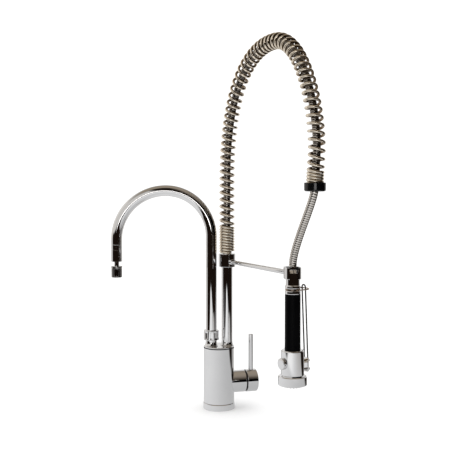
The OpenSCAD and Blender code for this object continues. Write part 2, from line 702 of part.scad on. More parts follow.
// The hose runs up the riser, round the spring's centre line and down to the ferrule
module spray_hose() color(steel) arm_place() {
    bottom = stub_z + 4;
    up = [for (i = [0 : 3]) [0, bottom + (bracket_top - hose_step - bottom) * i / 3]];
    inside = [for (s = [0 : hose_step : spine_len - 2 * hose_step]) [spine_at(s)[0], spine_at(s)[2]]];
    last = inside[len(inside) - 1];
    cap_exit = [arch_reach - hose_off, end_cap_z + 0.2];
    lower = curve([last, last - [0, 12], cap_exit + [hose_lean, hose_sag] / 2, cap_exit], 4);
    drop = concat(lower, curve([cap_exit, cap_exit - [hose_lean, hose_sag], [arm_reach, ferrule_end + hose_rise],
        [arm_reach, ferrule_end + 2]], 10), [[arm_reach, nut_top + 2.3]]);
    points = [for (p = concat(up, inside, drop)) [p[0], 0, p[1]]];
    sweep(points, [for (p = points) [0, 1, 0]], hose_r, hose_sides);
}

module hose_ferrule() color(chrome) arm_place() translate([arm_reach, 0, 0]) difference() {
    turned([[0, nut_top - 8], [ferrule_tail_r, nut_top - 8], [ferrule_tail_r, nut_top + run],
        [ferrule_r, nut_top + run], [ferrule_r, ferrule_end - 0.8], [ferrule_r - 0.4, ferrule_end], [0, ferrule_end]]);
    translate([0, 0, nut_top + 2]) cylinder(r = hose_r + run, h = ferrule_end);
    translate([0, 0, nut_top - 9]) cylinder(r = 2.4, h = 12);
}

// Spray
module hose_nut() color(chrome) spray_place() difference() {
    turned([[0, neck_top + fit], [spray_neck_r, neck_top + fit], [spray_neck_r, nut_cone],
        [spray_neck_r - 0.8, nut_cone + 1], [ferrule_r, nut_top - 1], [ferrule_r - 0.5, nut_top], [0, nut_top]]);
    translate([0, 0, neck_top - 1]) cylinder(r = 7, h = 8);
    translate([0, 0, neck_top - 1]) cylinder(r = ferrule_tail_r + run, h = nut_top);
}

module spray_collar() color(chrome) spray_place() difference() {
    turned(concat([[0, collar_base]], arc([bead_r - 1.6, collar_base + 1.6], 1.6, -60, 0, 3),
        arc([bead_r - 1.6, collar_base + bead_h - 1.6], 1.6, 0, 60, 3),
        [[groove_r, collar_base + bead_h], [groove_r, collar_base + bead_h + groove_h]],
        arc([bead_r - 1.6, collar_base + bead_h + groove_h + 1.6], 1.6, -60, 0, 3),
        arc([bead_r - 1.6, neck_z - 1.6], 1.6, 0, 60, 3),
        [[spray_neck_r, neck_z + 1], [spray_neck_r, neck_top], [0, neck_top]]));
    translate([0, 0, collar_base - 1]) cylinder(r = core_bore, h = neck_top);
    translate([0, 0, bail_z]) rotate([90, 0, 0]) cylinder(r = bail_wire_r + run, h = 4 * bead_r, center = true);
}

module handle_core() color(plastic) spray_place()
    turned([[core_bore, head_top - head_roof + 1], [core_r - 0.4, head_top - head_roof + 1],
        [core_r - 0.4, head_top], [core_r - 0.1, head_top], [core_r - 0.1, collar_base - fit],
        [core_bore, collar_base - fit]]);

module grip_sleeve() color("black") spray_place()
    turned([[core_r, grip_z], [grip_r, grip_z], [grip_r + 0.2, grip_z + 0.5], [grip_r + 0.2, grip_z + 3],
        [grip_r, grip_z + 9], [grip_r - 0.1, grip_top - 0.5], [grip_r - 0.5, grip_top], [core_r, grip_top]]);

module spray_head() color(chrome) spray_place() difference() {
    union() {
        turned(concat([[0, head_z - 8], [face_bore - fit, head_z - 8], [face_bore - fit, head_z],
            [head_r - 0.6, head_z], [head_r, head_z + 0.6]],
            arc([head_r - 2.4, head_top - 2.4], 2.4, 0, 90, 5), [[0, head_top]]));
        for (z = [pivot_z, plunger_z]) along_x(side_boss_r, 0, boss_reach, z);
        mirror([1, 0, 0]) along_x(knob_r - 1.4, 0, knob_seat, knob_z);
    }
    translate([0, 0, head_z - 9]) cylinder(r = head_in, h = head_top - head_roof - head_z + 9);
    translate([0, 0, head_top - head_roof - 1]) cylinder(r = core_r - 0.3, h = head_roof + 2);
    along_x(return_r + return_wire + 0.4, head_in - 1, boss_reach + 1, plunger_z);
    along_x(post_r + run, head_in - 1, boss_reach + 1, pivot_z);
    mirror([1, 0, 0]) along_x(knob_stem_r + run, head_in - 1, knob_seat + 1, knob_z);
}

module valve_body() color(brass) spray_place() difference() {
    tube(valve_r, 0, head_z - 3, valve_top);
    translate([0, 0, head_z - 4]) cylinder(r = 4, h = 12);
    translate([0, 0, valve_top - 6]) cylinder(r = 6, h = 7);
    along_x(post_r + run, -4, valve_r + 1, plunger_z);
    along_x(post_r + run, 8, valve_r + 1, pivot_z);
    mirror([1, 0, 0]) along_x(knob_stem_r + run, knob_back - 0.4, valve_r + 1, knob_z);
}

module face_ring() color(chrome) spray_place() turned([[face_bore, face_floor], [plate_r + fit, face_floor],
    [plate_r + fit, face_z], [face_r - 0.9, face_z], [face_r, face_z + 0.9], [face_r, face_z + face_h - 1.2],
    [face_r - 1.2, face_z + face_h], [face_bore, face_z + face_h]]);

module face_seal() color(black) spray_place()
    tube(plate_r, plate_r - 3, face_z + plate_h + 1 + run, face_floor - run);

module spray_plate() color(plastic) spray_place() difference() {
    tube(plate_r, 0, face_z + 1, face_z + 1 + plate_h);
    nozzle_spots() translate([0, 0, face_z]) cylinder(r = 0.7, h = plate_h + 2, $fn = 24);
}

module nozzle_spots() for (ring = [0 : nozzle_rings]) for (i = [0 : max(0, 6 * ring - 1)])
    rotate(i * 60 / max(1, ring)) translate([ring * nozzle_pitch, 0, 0]) children();

module nozzle_tips() color(black) spray_place() nozzle_spots() difference() {
    translate([0, 0, face_z + 1 - nozzle_len]) cylinder(r1 = nozzle_r, r2 = nozzle_r + 0.5, h = nozzle_len - 0.02, $fn = 24);
    translate([0, 0, face_z - nozzle_len]) cylinder(r = 0.5, h = nozzle_len + 2, $fn = 24);
}

module spray_knob() color(chrome) spray_place() mirror([1, 0, 0]) difference() {
    translate([0, 0, knob_z]) rotate([0, 90, 0]) puck(knob_r, knob_len, knob_seat + knob_gap, 1.6);
    along_x(knob_stem_r + 0.02, knob_seat, knob_seat + 3.6, knob_z);
    for (i = [0 : 17]) translate([0, 0, knob_z]) rotate([i * 20, 0, 0])
        along_x(0.8, knob_seat, knob_seat + knob_gap + knob_len - 1.4, knob_r + 0.4);
}

module knob_stem() color(steel) spray_place() mirror([1, 0, 0])
    along_x(knob_stem_r, knob_back, knob_seat + 3.5, knob_z);

module pivot_post() color(chrome) spray_place() union() {
    along_x(post_r, 8.4, post_end - 5, pivot_z);
    along_x(post_head_r, boss_reach + run, pivot_reach - yoke_t / 2 - yoke_gap, pivot_z);
    translate([0, 0, pivot_z]) rotate([0, 90, 0])
        puck(post_head_r, post_end - pivot_reach - yoke_t / 2 - cap_gap, pivot_reach + yoke_t / 2 + cap_gap, 1);
}

// A thin band in the collar's groove, which the bail's ends pass through
module bail_band() color(brass) spray_place() difference() {
    tube(band_r, groove_r + fit, bail_z - band_h / 2, bail_z + band_h / 2);
    translate([0, 0, bail_z]) rotate([90, 0, 0]) cylinder(r = bail_wire_r + run, h = 4 * bead_r, center = true);
}

// A U-shaped wire bail whose ends turn in the collar's groove
module hold_down_bail() color(steel) spray_place() translate([0, 0, bail_z]) {
    straight = bail_reach - bail_wire_r - bail_half_w;
    for (side = [-1, 1]) {
        translate([0, side * (bail_half_w + bail_wire_r), 0]) rotate([90 * side, 0, 0])
            cylinder(r = bail_wire_r, h = bail_half_w + bail_wire_r - groove_r + bail_hole_depth, $fn = 24);
        translate([0, side * bail_half_w, 0]) rotate([0, 90, 0]) cylinder(r = bail_wire_r, h = straight, $fn = 24);
    }
    translate([straight, 0, 0]) rotate(-90) rotate_extrude(angle = 180)
        translate([bail_half_w, 0]) circle(r = bail_wire_r, $fn = 24);
}

// Trigger, carried by the pivot post; leg_x gives the wire's reach at a height
function leg_x(z) = pivot_reach + (tip_reach - pivot_reach) * (z - yoke_top) / (tip_z - yoke_top);
module trigger_wire() color(steel) spray_place() {
    half = trigger_w / 2;
    bend_start = tip_z - half - trigger_wire_r;
    lean = atan2(leg_x(bend_start) - pivot_reach, bend_start - yoke_top);
    translate([pivot_reach, 0, yoke_top]) rotate([0, lean, 0]) {
        for (side = [-1, 1]) translate([0, side * half, run])
            cylinder(r = trigger_wire_r, h = bend_start - yoke_top - run, $fn = 24);
        translate([0, 0, bend_start - yoke_top]) rotate([0, -90, 0]) rotate([0, 0, -90])
            rotate_extrude(angle = 180) translate([half, 0]) circle(r = trigger_wire_r, $fn = 24);
    }
}

module trigger_yoke() color(chrome) spray_place() difference() {
    union() {
        translate([pivot_reach - yoke_t / 2, 0, 0]) rotate([90, 0, 90]) linear_extrude(yoke_t) hull() {
            for (y = [-1, 1]) translate([y * (yoke_w / 2 - 3.6), yoke_bottom + 3.6]) circle(r = 3.6);
            translate([-yoke_w / 2, yoke_top - 1]) square([yoke_w, 1]);
        }
        // Ribs that the yoke rocks on
        for (side = [-1, 1]) translate([pivot_reach, side * yoke_w / 2, pivot_z]) rotate([90 * side, 0, 0])
            cylinder(r = yoke_t / 2 + 0.5, h = yoke_w / 2 - 4);
    }
    along_x(post_r + 0.4, pivot_reach - yoke_t, pivot_reach + yoke_t, pivot_z);
    along_x(post_r + 0.6, pivot_reach - yoke_t, pivot_reach + yoke_t, plunger_z);
}

module valve_plunger() color(steel) spray_place() union() {
    along_x(post_r, plunger_back, post_end - 4, plunger_z);
    along_x(plunger_flange_r, pivot_reach - yoke_t / 2 - yoke_gap - 1.6, pivot_reach - yoke_t / 2 - yoke_gap, plunger_z);
    translate([0, 0, plunger_z]) rotate([0, 90, 0])
        puck(post_head_r, post_end - 0.6 - pivot_reach - yoke_t / 2 - cap_gap, pivot_reach + yoke_t / 2 + cap_gap, 1);
}

module return_spring() color(steel) spray_place() {
    start = spring_seat + return_wire;
    travel = pivot_reach - yoke_t / 2 - yoke_gap - 1.7 - return_wire - start;
    steps = return_turns * 10;
    outs = [for (i = [0 : steps]) [0, cos(i * 36), sin(i * 36)]];
    sweep([for (i = [0 : steps]) [start + travel * i / steps, 0, plunger_z] + return_r * outs[i]],
        outs, return_wire, 6);
}

base_ring();
base_seal();
body_shell();
water_block();
cartridge_body();
cartridge_nut();
gap_ring();
spout_foot();
spout_collar();
spout_o_rings();
riser_foot();
riser_pipe();
spout_tube();
outlet_sleeve();
ball_seat();
aerator_ball();
aerator_head();
aerator_insert();
aerator_seal();
cartridge_rotor();
stem_pin();
cartridge_stem();
handle_cap();
lever_pin();
handle_grub_screw();
arm_bracket();
bracket_bush();
arm_set_screw();
arm_boss();
arm_rod();
holder_clip();
holder_liner();
coil_spring();
spring_end_cap();
cap_grommet();
spray_hose();
hose_ferrule();
hose_nut();
spray_collar();
handle_core();
grip_sleeve();
spray_head();
valve_body();
bail_band();
face_ring();
face_seal();
spray_plate();
nozzle_tips();
pivot_post();
hold_down_bail();
spray_knob();
knob_stem();
trigger_wire();
trigger_yoke();
valve_plunger();
return_spring();
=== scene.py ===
# %% [markdown]
# # A pre-rinse faucet on a white set
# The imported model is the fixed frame. It is loaded first, so that every finish and every
# new piece is made in the same place and at the same size. Nothing of it is moved: a node
# either keeps its shape and gets a finish, or a finer piece takes its place.

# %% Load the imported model
import json
import math

import bmesh
import bpy
from mathutils import Matrix, Vector
from mathutils.kdtree import KDTree

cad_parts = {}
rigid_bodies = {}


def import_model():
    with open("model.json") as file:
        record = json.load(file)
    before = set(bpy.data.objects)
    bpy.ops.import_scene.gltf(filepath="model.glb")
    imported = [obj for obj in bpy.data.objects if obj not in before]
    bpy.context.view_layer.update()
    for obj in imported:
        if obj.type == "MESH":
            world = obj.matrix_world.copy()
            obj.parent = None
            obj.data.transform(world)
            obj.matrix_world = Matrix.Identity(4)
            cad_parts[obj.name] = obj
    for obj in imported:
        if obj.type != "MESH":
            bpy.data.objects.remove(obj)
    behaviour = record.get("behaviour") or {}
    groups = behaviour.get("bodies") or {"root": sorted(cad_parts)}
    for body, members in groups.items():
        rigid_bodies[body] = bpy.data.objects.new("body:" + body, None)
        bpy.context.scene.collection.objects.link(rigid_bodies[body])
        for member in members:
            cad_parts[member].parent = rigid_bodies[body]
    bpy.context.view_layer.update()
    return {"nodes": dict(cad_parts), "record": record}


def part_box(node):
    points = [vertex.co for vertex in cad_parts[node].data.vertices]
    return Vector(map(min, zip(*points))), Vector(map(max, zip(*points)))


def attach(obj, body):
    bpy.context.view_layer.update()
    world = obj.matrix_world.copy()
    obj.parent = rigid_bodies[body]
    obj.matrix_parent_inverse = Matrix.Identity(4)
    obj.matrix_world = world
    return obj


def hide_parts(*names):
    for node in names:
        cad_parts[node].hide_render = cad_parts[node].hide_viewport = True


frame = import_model()
cad = frame["nodes"]
MM = 0.001
print("nodes loaded:", len(cad))

# %% [markdown]
# ## Camera
# The faucet is seen from a little to the left and from about two thirds of its height. The
# lens is long and almost level, so the upright tubes stay nearly parallel, and a small
# vertical shift centres the tall object without tilting the camera.

# %% Place the camera
CAMERA_AT = Vector((-0.5123, -1.7299, 0.4802))
HEADING_ANGLE = math.radians(16.88)
PITCH_DOWN = math.radians(2.169)
HEADING = Vector((math.sin(HEADING_ANGLE), math.cos(HEADING_ANGLE), 0))
RIGHT = Vector((HEADING.y, -HEADING.x, 0))

camera = bpy.data.objects.new("camera", bpy.data.cameras.new("camera"))
bpy.context.collection.objects.link(camera)
camera.location = CAMERA_AT
look = HEADING * math.cos(PITCH_DOWN) - Vector((0, 0, math.sin(PITCH_DOWN)))
camera.rotation_euler = look.to_track_quat("-Z", "Y").to_euler()
camera.data.sensor_width = 36
camera.data.lens = 72.58
camera.data.shift_y = -0.05
bpy.context.scene.camera = camera
print("camera to body:", round(CAMERA_AT.xy.length, 3), "m")

# %% [markdown]
# ## Node helpers
# Most of a finish is a short chain of nodes. One helper makes a node, sets its options and
# its inputs, and links any input that is given as another node's output. The others are
# short names for the few nodes that come up again and again: sums and products, a colour
# ramp, a mix of two colours, and a soft edge, which is 0 on one side and 1 on the other.

# %% Helpers for node trees
def node(tree, kind, inputs=None, **options):
    """Add a node, set its options and fill or link its inputs."""
    made = tree.nodes.new(kind)
    for key, value in options.items():
        setattr(made, key, value)
    for key, value in (inputs or {}).items():
        if isinstance(value, bpy.types.NodeSocket):
            tree.links.new(value, made.inputs[key])
        else:
            made.inputs[key].default_value = value
    return made


def ramp(tree, factor, stops):
    """Run a factor through a colour ramp of (place, colour) stops."""
    made = node(tree, "ShaderNodeValToRGB", {"Fac": factor})
    elements = made.color_ramp.elements
    while len(elements) < len(stops):
        elements.new(0.5)
    for element, (place, color) in zip(elements, stops):
        element.position = place
        element.color = (*color, 1)
    return made.outputs["Color"]


def mix_colors(tree, factor, a, b, blend="MIX"):
    """Mix colour a towards colour b. Each may be three numbers or a node's output."""
    made = node(tree, "ShaderNodeMix", data_type="RGBA", blend_type=blend)
    for socket, value in ((made.inputs[0], factor), (made.inputs[6], a), (made.inputs[7], b)):
        if isinstance(value, bpy.types.NodeSocket):
            tree.links.new(value, socket)
        else:
            socket.default_value = (*value, 1) if isinstance(value, tuple) else value
    return made.outputs[2]


def math_node(tree, operation, a, b=0.0, clamp=False):
    return node(tree, "ShaderNodeMath", {0: a, 1: b}, operation=operation, use_clamp=clamp).outputs[0]


def product(tree, first, *others):
    for other in others:
        first = math_node(tree, "MULTIPLY", first, other)
    return first


def sloped(tree, value, other, slope):
    """The value plus a share of another one, so that an edge drawn on it runs at a slant."""
    return math_node(tree, "ADD", value, math_node(tree, "MULTIPLY", other, slope))


def rises(tree, value, start, steepness):
    """A soft edge: 0 up to the start, then up to 1."""
    return math_node(tree, "MULTIPLY", math_node(tree, "SUBTRACT", value, start), steepness, clamp=True)


def falls(tree, value, end, steepness):
    """A soft edge: 1 at first, down to 0 at the end."""
    return math_node(tree, "MULTIPLY", math_node(tree, "SUBTRACT", end, value), steepness, clamp=True)


def dot(tree, vector, axis):
    return node(tree, "ShaderNodeVectorMath", {0: vector, 1: axis}, operation="DOT_PRODUCT").outputs["Value"]


# %% [markdown]
# ## Studio room
# Polished metal has hardly any colour of its own: it shows the room. The room is a world
# whose colour depends only on the direction, so it costs no lamps and no meshes. Its three
# measures are how far a direction points away past the object, to the right, and upward.
# The wall behind the object is white and goes round to the left as a warm light wall. On
# the right it ends early, and the dark that is left draws the black lines along the tubes.

# %% Paint the walls
world = bpy.data.worlds.new("studio")
bpy.context.scene.world = world
world.use_nodes = True
sky = world.node_tree
sky.nodes.clear()

BLACK = (0.0, 0.0, 0.0)
WALL_TOP = 0.85

direction = node(sky, "ShaderNodeTexCoord").outputs["Generated"]
away = dot(sky, direction, HEADING)
to_right = dot(sky, direction, RIGHT)
upward = node(sky, "ShaderNodeSeparateXYZ", {0: direction}).outputs["Z"]
around = math_node(sky, "MULTIPLY", math_node(sky, "ADD", away, 1.0), 0.5)
left_wall = ramp(sky, around, [(0.43, BLACK), (0.47, (0.58, 0.53, 0.47)), (0.66, (0.80, 0.77, 0.73)),
                               (1.0, (0.66, 0.64, 0.61))])
right_wall = ramp(sky, around, [(0.60, BLACK), (0.72, (0.20, 0.18, 0.16)), (0.86, (0.66, 0.65, 0.64)),
                                (0.97, (0.90, 0.90, 0.90))])
on_the_right = rises(sky, to_right, -1 / 3, 1.5)
below_top = falls(sky, upward, WALL_TOP, 4.0)
walls = mix_colors(sky, below_top, BLACK, mix_colors(sky, on_the_right, left_wall, right_wall))
print("wall nodes:", len(sky.nodes))

# %% [markdown]
# ## Ceiling
# The room above the walls is nearly black at eye level and grows warm towards the zenith,
# which gives the tan bands on top of bends and of the mixer's hub. Over the right side a
# lamp starts lower. Behind the camera the ceiling is dark all the way.

# %% Paint the ceiling
DARK_END = (0.012, 0.008, 0.006)
OVERHEAD = (0.32, 0.27, 0.21)
CEILING_STARTS = -0.58

warm = ramp(sky, upward, [(0.0, (0.010, 0.006, 0.004)), (0.30, (0.012, 0.009, 0.007)),
                          (0.60, (0.05, 0.042, 0.032)), (0.85, (0.30, 0.25, 0.19)), (1.0, OVERHEAD)])
warm = mix_colors(sky, rises(sky, away, CEILING_STARTS, 6.0), DARK_END, warm)
lamp = ramp(sky, upward, [(0.30, BLACK), (0.60, (0.12, 0.10, 0.08)), (0.82, (0.26, 0.22, 0.18)),
                          (1.0, OVERHEAD)])
room = mix_colors(sky, rises(sky, to_right, 0.0, 3.0), warm, lamp)
print("ceiling fades in past", CEILING_STARTS)

# %% [markdown]
# ## Window and screen
# A low, very bright window stands straight ahead of the object, on the camera's side, and
# makes the sharp highlights. A pale screen with a slanted edge hangs over the left side and
# lights the left of each tube. A reflection shows the brighter of the walls and the room.
# Rays that light the object or reach the camera don't see this room but plain white.

# %% Hang the window and the screen
WINDOW_LEFT, WINDOW_HALF_WIDTH = 0.04, 0.26
WINDOW_BELOW, WINDOW_HALF_HEIGHT = 0.02, 0.05
WINDOW_LIGHT = (4.5, 4.4, 4.3)
SCREEN_SLANT, SCREEN_FOOT = 0.38, 0.01
SCREEN_TONE = (0.64, 0.62, 0.59)
PLAIN_WHITE = (1.18, 1.18, 1.18)

aside = math_node(sky, "ABSOLUTE", math_node(sky, "ADD", to_right, WINDOW_LEFT))
aloft = math_node(sky, "ABSOLUTE", math_node(sky, "ADD", upward, WINDOW_BELOW))
window = product(sky, falls(sky, aside, WINDOW_HALF_WIDTH, 8.0), falls(sky, aloft, WINDOW_HALF_HEIGHT, 30.0),
                 falls(sky, away, 0.0, 6.0))
room = mix_colors(sky, window, room, WINDOW_LIGHT)
screen = product(sky, falls(sky, sloped(sky, to_right, upward, SCREEN_SLANT), 0.0, 12.0),
                 rises(sky, upward, SCREEN_FOOT, 20.0), below_top)
room = mix_colors(sky, screen, room, SCREEN_TONE)
reflected = mix_colors(sky, 1.0, room, walls, "LIGHTEN")
is_reflection = node(sky, "ShaderNodeLightPath").outputs["Is Glossy Ray"]
seen = mix_colors(sky, is_reflection, PLAIN_WHITE, reflected)
background = node(sky, "ShaderNodeBackground", {"Color": seen, "Strength": 1.0})
sky.links.new(background.outputs[0], node(sky, "ShaderNodeOutputWorld").inputs["Surface"])
print("world nodes:", len(sky.nodes))

# %% [markdown]
# ## Floor
# The object stands on a plain white paper. Reflections see it as a round sheet close by and
# a strip which reaches about two metres towards the camera and gets darker to the right.
# Both end on the right in a slanted edge, and where the strip ends the room is dark. That is
# why the body is pale all over, while each tube has a white streak which narrows to a point.

# %% Lay the floor
FLOOR_REACH = 7.0

floor_mesh = bpy.data.meshes.new("floor")
bm = bmesh.new()
bmesh.ops.create_grid(bm, x_segments=1, y_segments=1, size=FLOOR_REACH)
bm.to_mesh(floor_mesh)
bm.free()
floor = bpy.data.objects.new("floor", floor_mesh)
bpy.context.collection.objects.link(floor)

paper = bpy.data.materials.new("paper")
paper.use_nodes = True
tree = paper.node_tree
tree.nodes.clear()
place = node(tree, "ShaderNodeTexCoord").outputs["Object"]
forward = dot(tree, place, -HEADING)
sideways = dot(tree, place, RIGHT)
print("floor reaches", FLOOR_REACH, "m")

# %% [markdown]
# ## Sheets on the floor
# Each sheet is a product of soft edges, in metres from the faucet. The round sheet has one
# tone, a little darker on the right, and the strip's tone falls from left to right.

# %% Cut the sheets
STRIP_FRONT, STRIP_LEFT, STRIP_CORNER = 1.95, 0.56, 1.52
CORNER_SLOPE, TURNED_SLOPE = 0.70, -1.45
TURNED_EDGE, ROUND_SHEET = 0.54, 0.78

turned_edge = falls(tree, sloped(tree, sideways, forward, TURNED_SLOPE), TURNED_EDGE, 5.0)
strip = product(tree, falls(tree, forward, STRIP_FRONT, 4.0), rises(tree, sideways, -STRIP_LEFT, 6.0),
                turned_edge, falls(tree, sloped(tree, sideways, forward, CORNER_SLOPE), STRIP_CORNER, 5.0))
across = math_node(tree, "ADD", math_node(tree, "MULTIPLY", sideways, 0.5), 0.5)
strip_tone = ramp(tree, across, [(0.25, (0.97, 0.97, 0.96)), (0.50, (0.90, 0.90, 0.90)),
                                 (0.65, (0.70, 0.70, 0.70)), (0.85, (0.50, 0.49, 0.48)),
                                 (1.0, (0.38, 0.37, 0.36))])
distance = node(tree, "ShaderNodeVectorMath", {0: place}, operation="LENGTH").outputs["Value"]
round_sheet = product(tree, falls(tree, distance, ROUND_SHEET, 12.0), turned_edge)
print("paper reaches", STRIP_FRONT, "m forward")

# %% [markdown]
# ## Floor behind the object
# Behind the object the floor takes the white wall's tone. On the right it fades in slowly,
# and on the left it starts at once. All this is seen by reflections alone: the camera sees
# a white paper that holds the object's shadow.

# %% Finish the floor
DARK_FLOOR = (0.010, 0.006, 0.004)
PALE_FLOOR = (0.66, 0.64, 0.62)
SHEET_TONE, SHEET_SHADE = 0.64, -0.12
BEHIND_STARTS = 0.12

toward = node(tree, "ShaderNodeVectorMath", {0: place}, operation="NORMALIZE").outputs["Vector"]
back_share = dot(tree, toward, HEADING)
right_share = dot(tree, toward, RIGHT)
behind_right = rises(tree, sloped(tree, back_share, right_share, -0.15), BEHIND_STARTS, 2.2)
behind_left = rises(tree, sloped(tree, back_share, right_share, -0.26), BEHIND_STARTS, 8.0)
behind = mix_colors(tree, falls(tree, right_share, 0.0, 5.0), behind_right, behind_left)
mirrored = mix_colors(tree, strip, mix_colors(tree, behind, DARK_FLOOR, PALE_FLOOR), strip_tone)
sheet_tone = math_node(tree, "ADD", SHEET_TONE, math_node(tree, "MULTIPLY", right_share, SHEET_SHADE))
mirrored = mix_colors(tree, round_sheet, mirrored, sheet_tone)
paper_seen = node(tree, "ShaderNodeBsdfDiffuse", {"Color": (1, 1, 1, 1)}).outputs[0]
paper_mirrored = node(tree, "ShaderNodeEmission", {"Color": mirrored}).outputs[0]
is_reflection = node(tree, "ShaderNodeLightPath").outputs["Is Glossy Ray"]
both = node(tree, "ShaderNodeMixShader", {0: is_reflection, 1: paper_seen, 2: paper_mirrored})
tree.links.new(both.outputs[0], node(tree, "ShaderNodeOutputMaterial").inputs["Surface"])
floor_mesh.materials.append(paper)
print("paper nodes:", len(tree.nodes))

# %% [markdown]
# ## Shared textures
# Three node groups carry the fine detail of every finish: a grain for bumps, a slow cloud
# that varies colour or gloss, and lines that follow one direction as drawing or brushing does.

# %% Make the shared node groups
def new_group(name, inputs, outputs):
    """Make a node group and give back its tree, its input node and its output node."""
    group = bpy.data.node_groups.new(name, "ShaderNodeTree")
    for label, kind, value in inputs:
        made = group.interface.new_socket(label, in_out="INPUT", socket_type="NodeSocket" + kind)
        if value is not None:
            made.default_value = value
    for label, kind in outputs:
        group.interface.new_socket(label, in_out="OUTPUT", socket_type="NodeSocket" + kind)
    return group, group.nodes.new("NodeGroupInput"), group.nodes.new("NodeGroupOutput")


grain, given, result = new_group(
    "fine_grain", [("Place", "Vector", None), ("Scale", "Float", 900.0)], [("Height", "Float")])
noise = node(grain, "ShaderNodeTexNoise", {"Vector": given.outputs["Place"], "Scale": given.outputs["Scale"],
                                          "Detail": 3.0, "Roughness": 0.6})
grain.links.new(noise.outputs["Fac"], result.inputs["Height"])

cloud, given, result = new_group(
    "slow_cloud",
    [("Place", "Vector", None), ("Scale", "Float", 30.0), ("Low", "Color", (0, 0, 0, 1)),
     ("High", "Color", (1, 1, 1, 1))],
    [("Color", "Color"), ("Mask", "Float")])
noise = node(cloud, "ShaderNodeTexNoise", {"Vector": given.outputs["Place"], "Scale": given.outputs["Scale"],
                                          "Detail": 4.0, "Roughness": 0.55})
spread = node(cloud, "ShaderNodeMapRange", {"Value": noise.outputs["Fac"], "From Min": 0.3, "From Max": 0.7})
mixed = mix_colors(cloud, spread.outputs["Result"], given.outputs["Low"], given.outputs["High"])
cloud.links.new(mixed, result.inputs["Color"])
cloud.links.new(spread.outputs["Result"], result.inputs["Mask"])

lines, given, result = new_group(
    "drawn_lines", [("Place", "Vector", None), ("Stretch", "Vector", (1.0, 1.0, 0.05)),
                    ("Scale", "Float", 1500.0)],
    [("Height", "Float")])
squeezed = node(lines, "ShaderNodeVectorMath", {0: given.outputs["Place"], 1: given.outputs["Stretch"]},
                operation="MULTIPLY").outputs["Vector"]
noise = node(lines, "ShaderNodeTexNoise", {"Vector": squeezed, "Scale": given.outputs["Scale"],
                                           "Detail": 2.0})
lines.links.new(noise.outputs["Fac"], result.inputs["Height"])
print("node groups:", [g.name for g in bpy.data.node_groups])


# %% [markdown]
# ## Finishes
# Each finish starts from one function. The base colour varies slowly between two close tones,
# the gloss varies with the same cloud, and a fine bump breaks the highlights up.

# %% Make a finish
METAL, PLASTIC = 1.0, 0.0
CLOUD_SCALE = 25.0
RELIEF = 0.2 * MM


def finish(name, low, high, metallic, gloss, grain_scale, bump, stretch=None, specular=0.5):
    """A material between two tones, with its range of roughness and its bump strength."""
    made = bpy.data.materials.new(name)
    made.use_nodes = True
    tree = made.node_tree
    shader = tree.nodes["Principled BSDF"]
    shader.inputs["Metallic"].default_value = metallic
    shader.inputs["Specular IOR Level"].default_value = specular
    place = node(tree, "ShaderNodeTexCoord").outputs["Object"]
    tone = node(tree, "ShaderNodeGroup", node_tree=cloud)
    tree.links.new(place, tone.inputs["Place"])
    tone.inputs["Scale"].default_value = CLOUD_SCALE
    tone.inputs["Low"].default_value = (*low, 1)
    tone.inputs["High"].default_value = (*high, 1)
    tree.links.new(tone.outputs["Color"], shader.inputs["Base Color"])
    rough = node(tree, "ShaderNodeMapRange", {"Value": tone.outputs["Mask"], "To Min": gloss[0],
                                                "To Max": gloss[1]})
    tree.links.new(rough.outputs["Result"], shader.inputs["Roughness"])
    texture = node(tree, "ShaderNodeGroup", node_tree=grain if stretch is None else lines)
    tree.links.new(place, texture.inputs["Place"])
    texture.inputs["Scale"].default_value = grain_scale
    if stretch:
        texture.inputs["Stretch"].default_value = stretch
    relief = node(tree, "ShaderNodeBump", {"Height": texture.outputs["Height"], "Strength": bump,
                                            "Distance": RELIEF})
    tree.links.new(relief.outputs["Normal"], shader.inputs["Normal"])
    return made


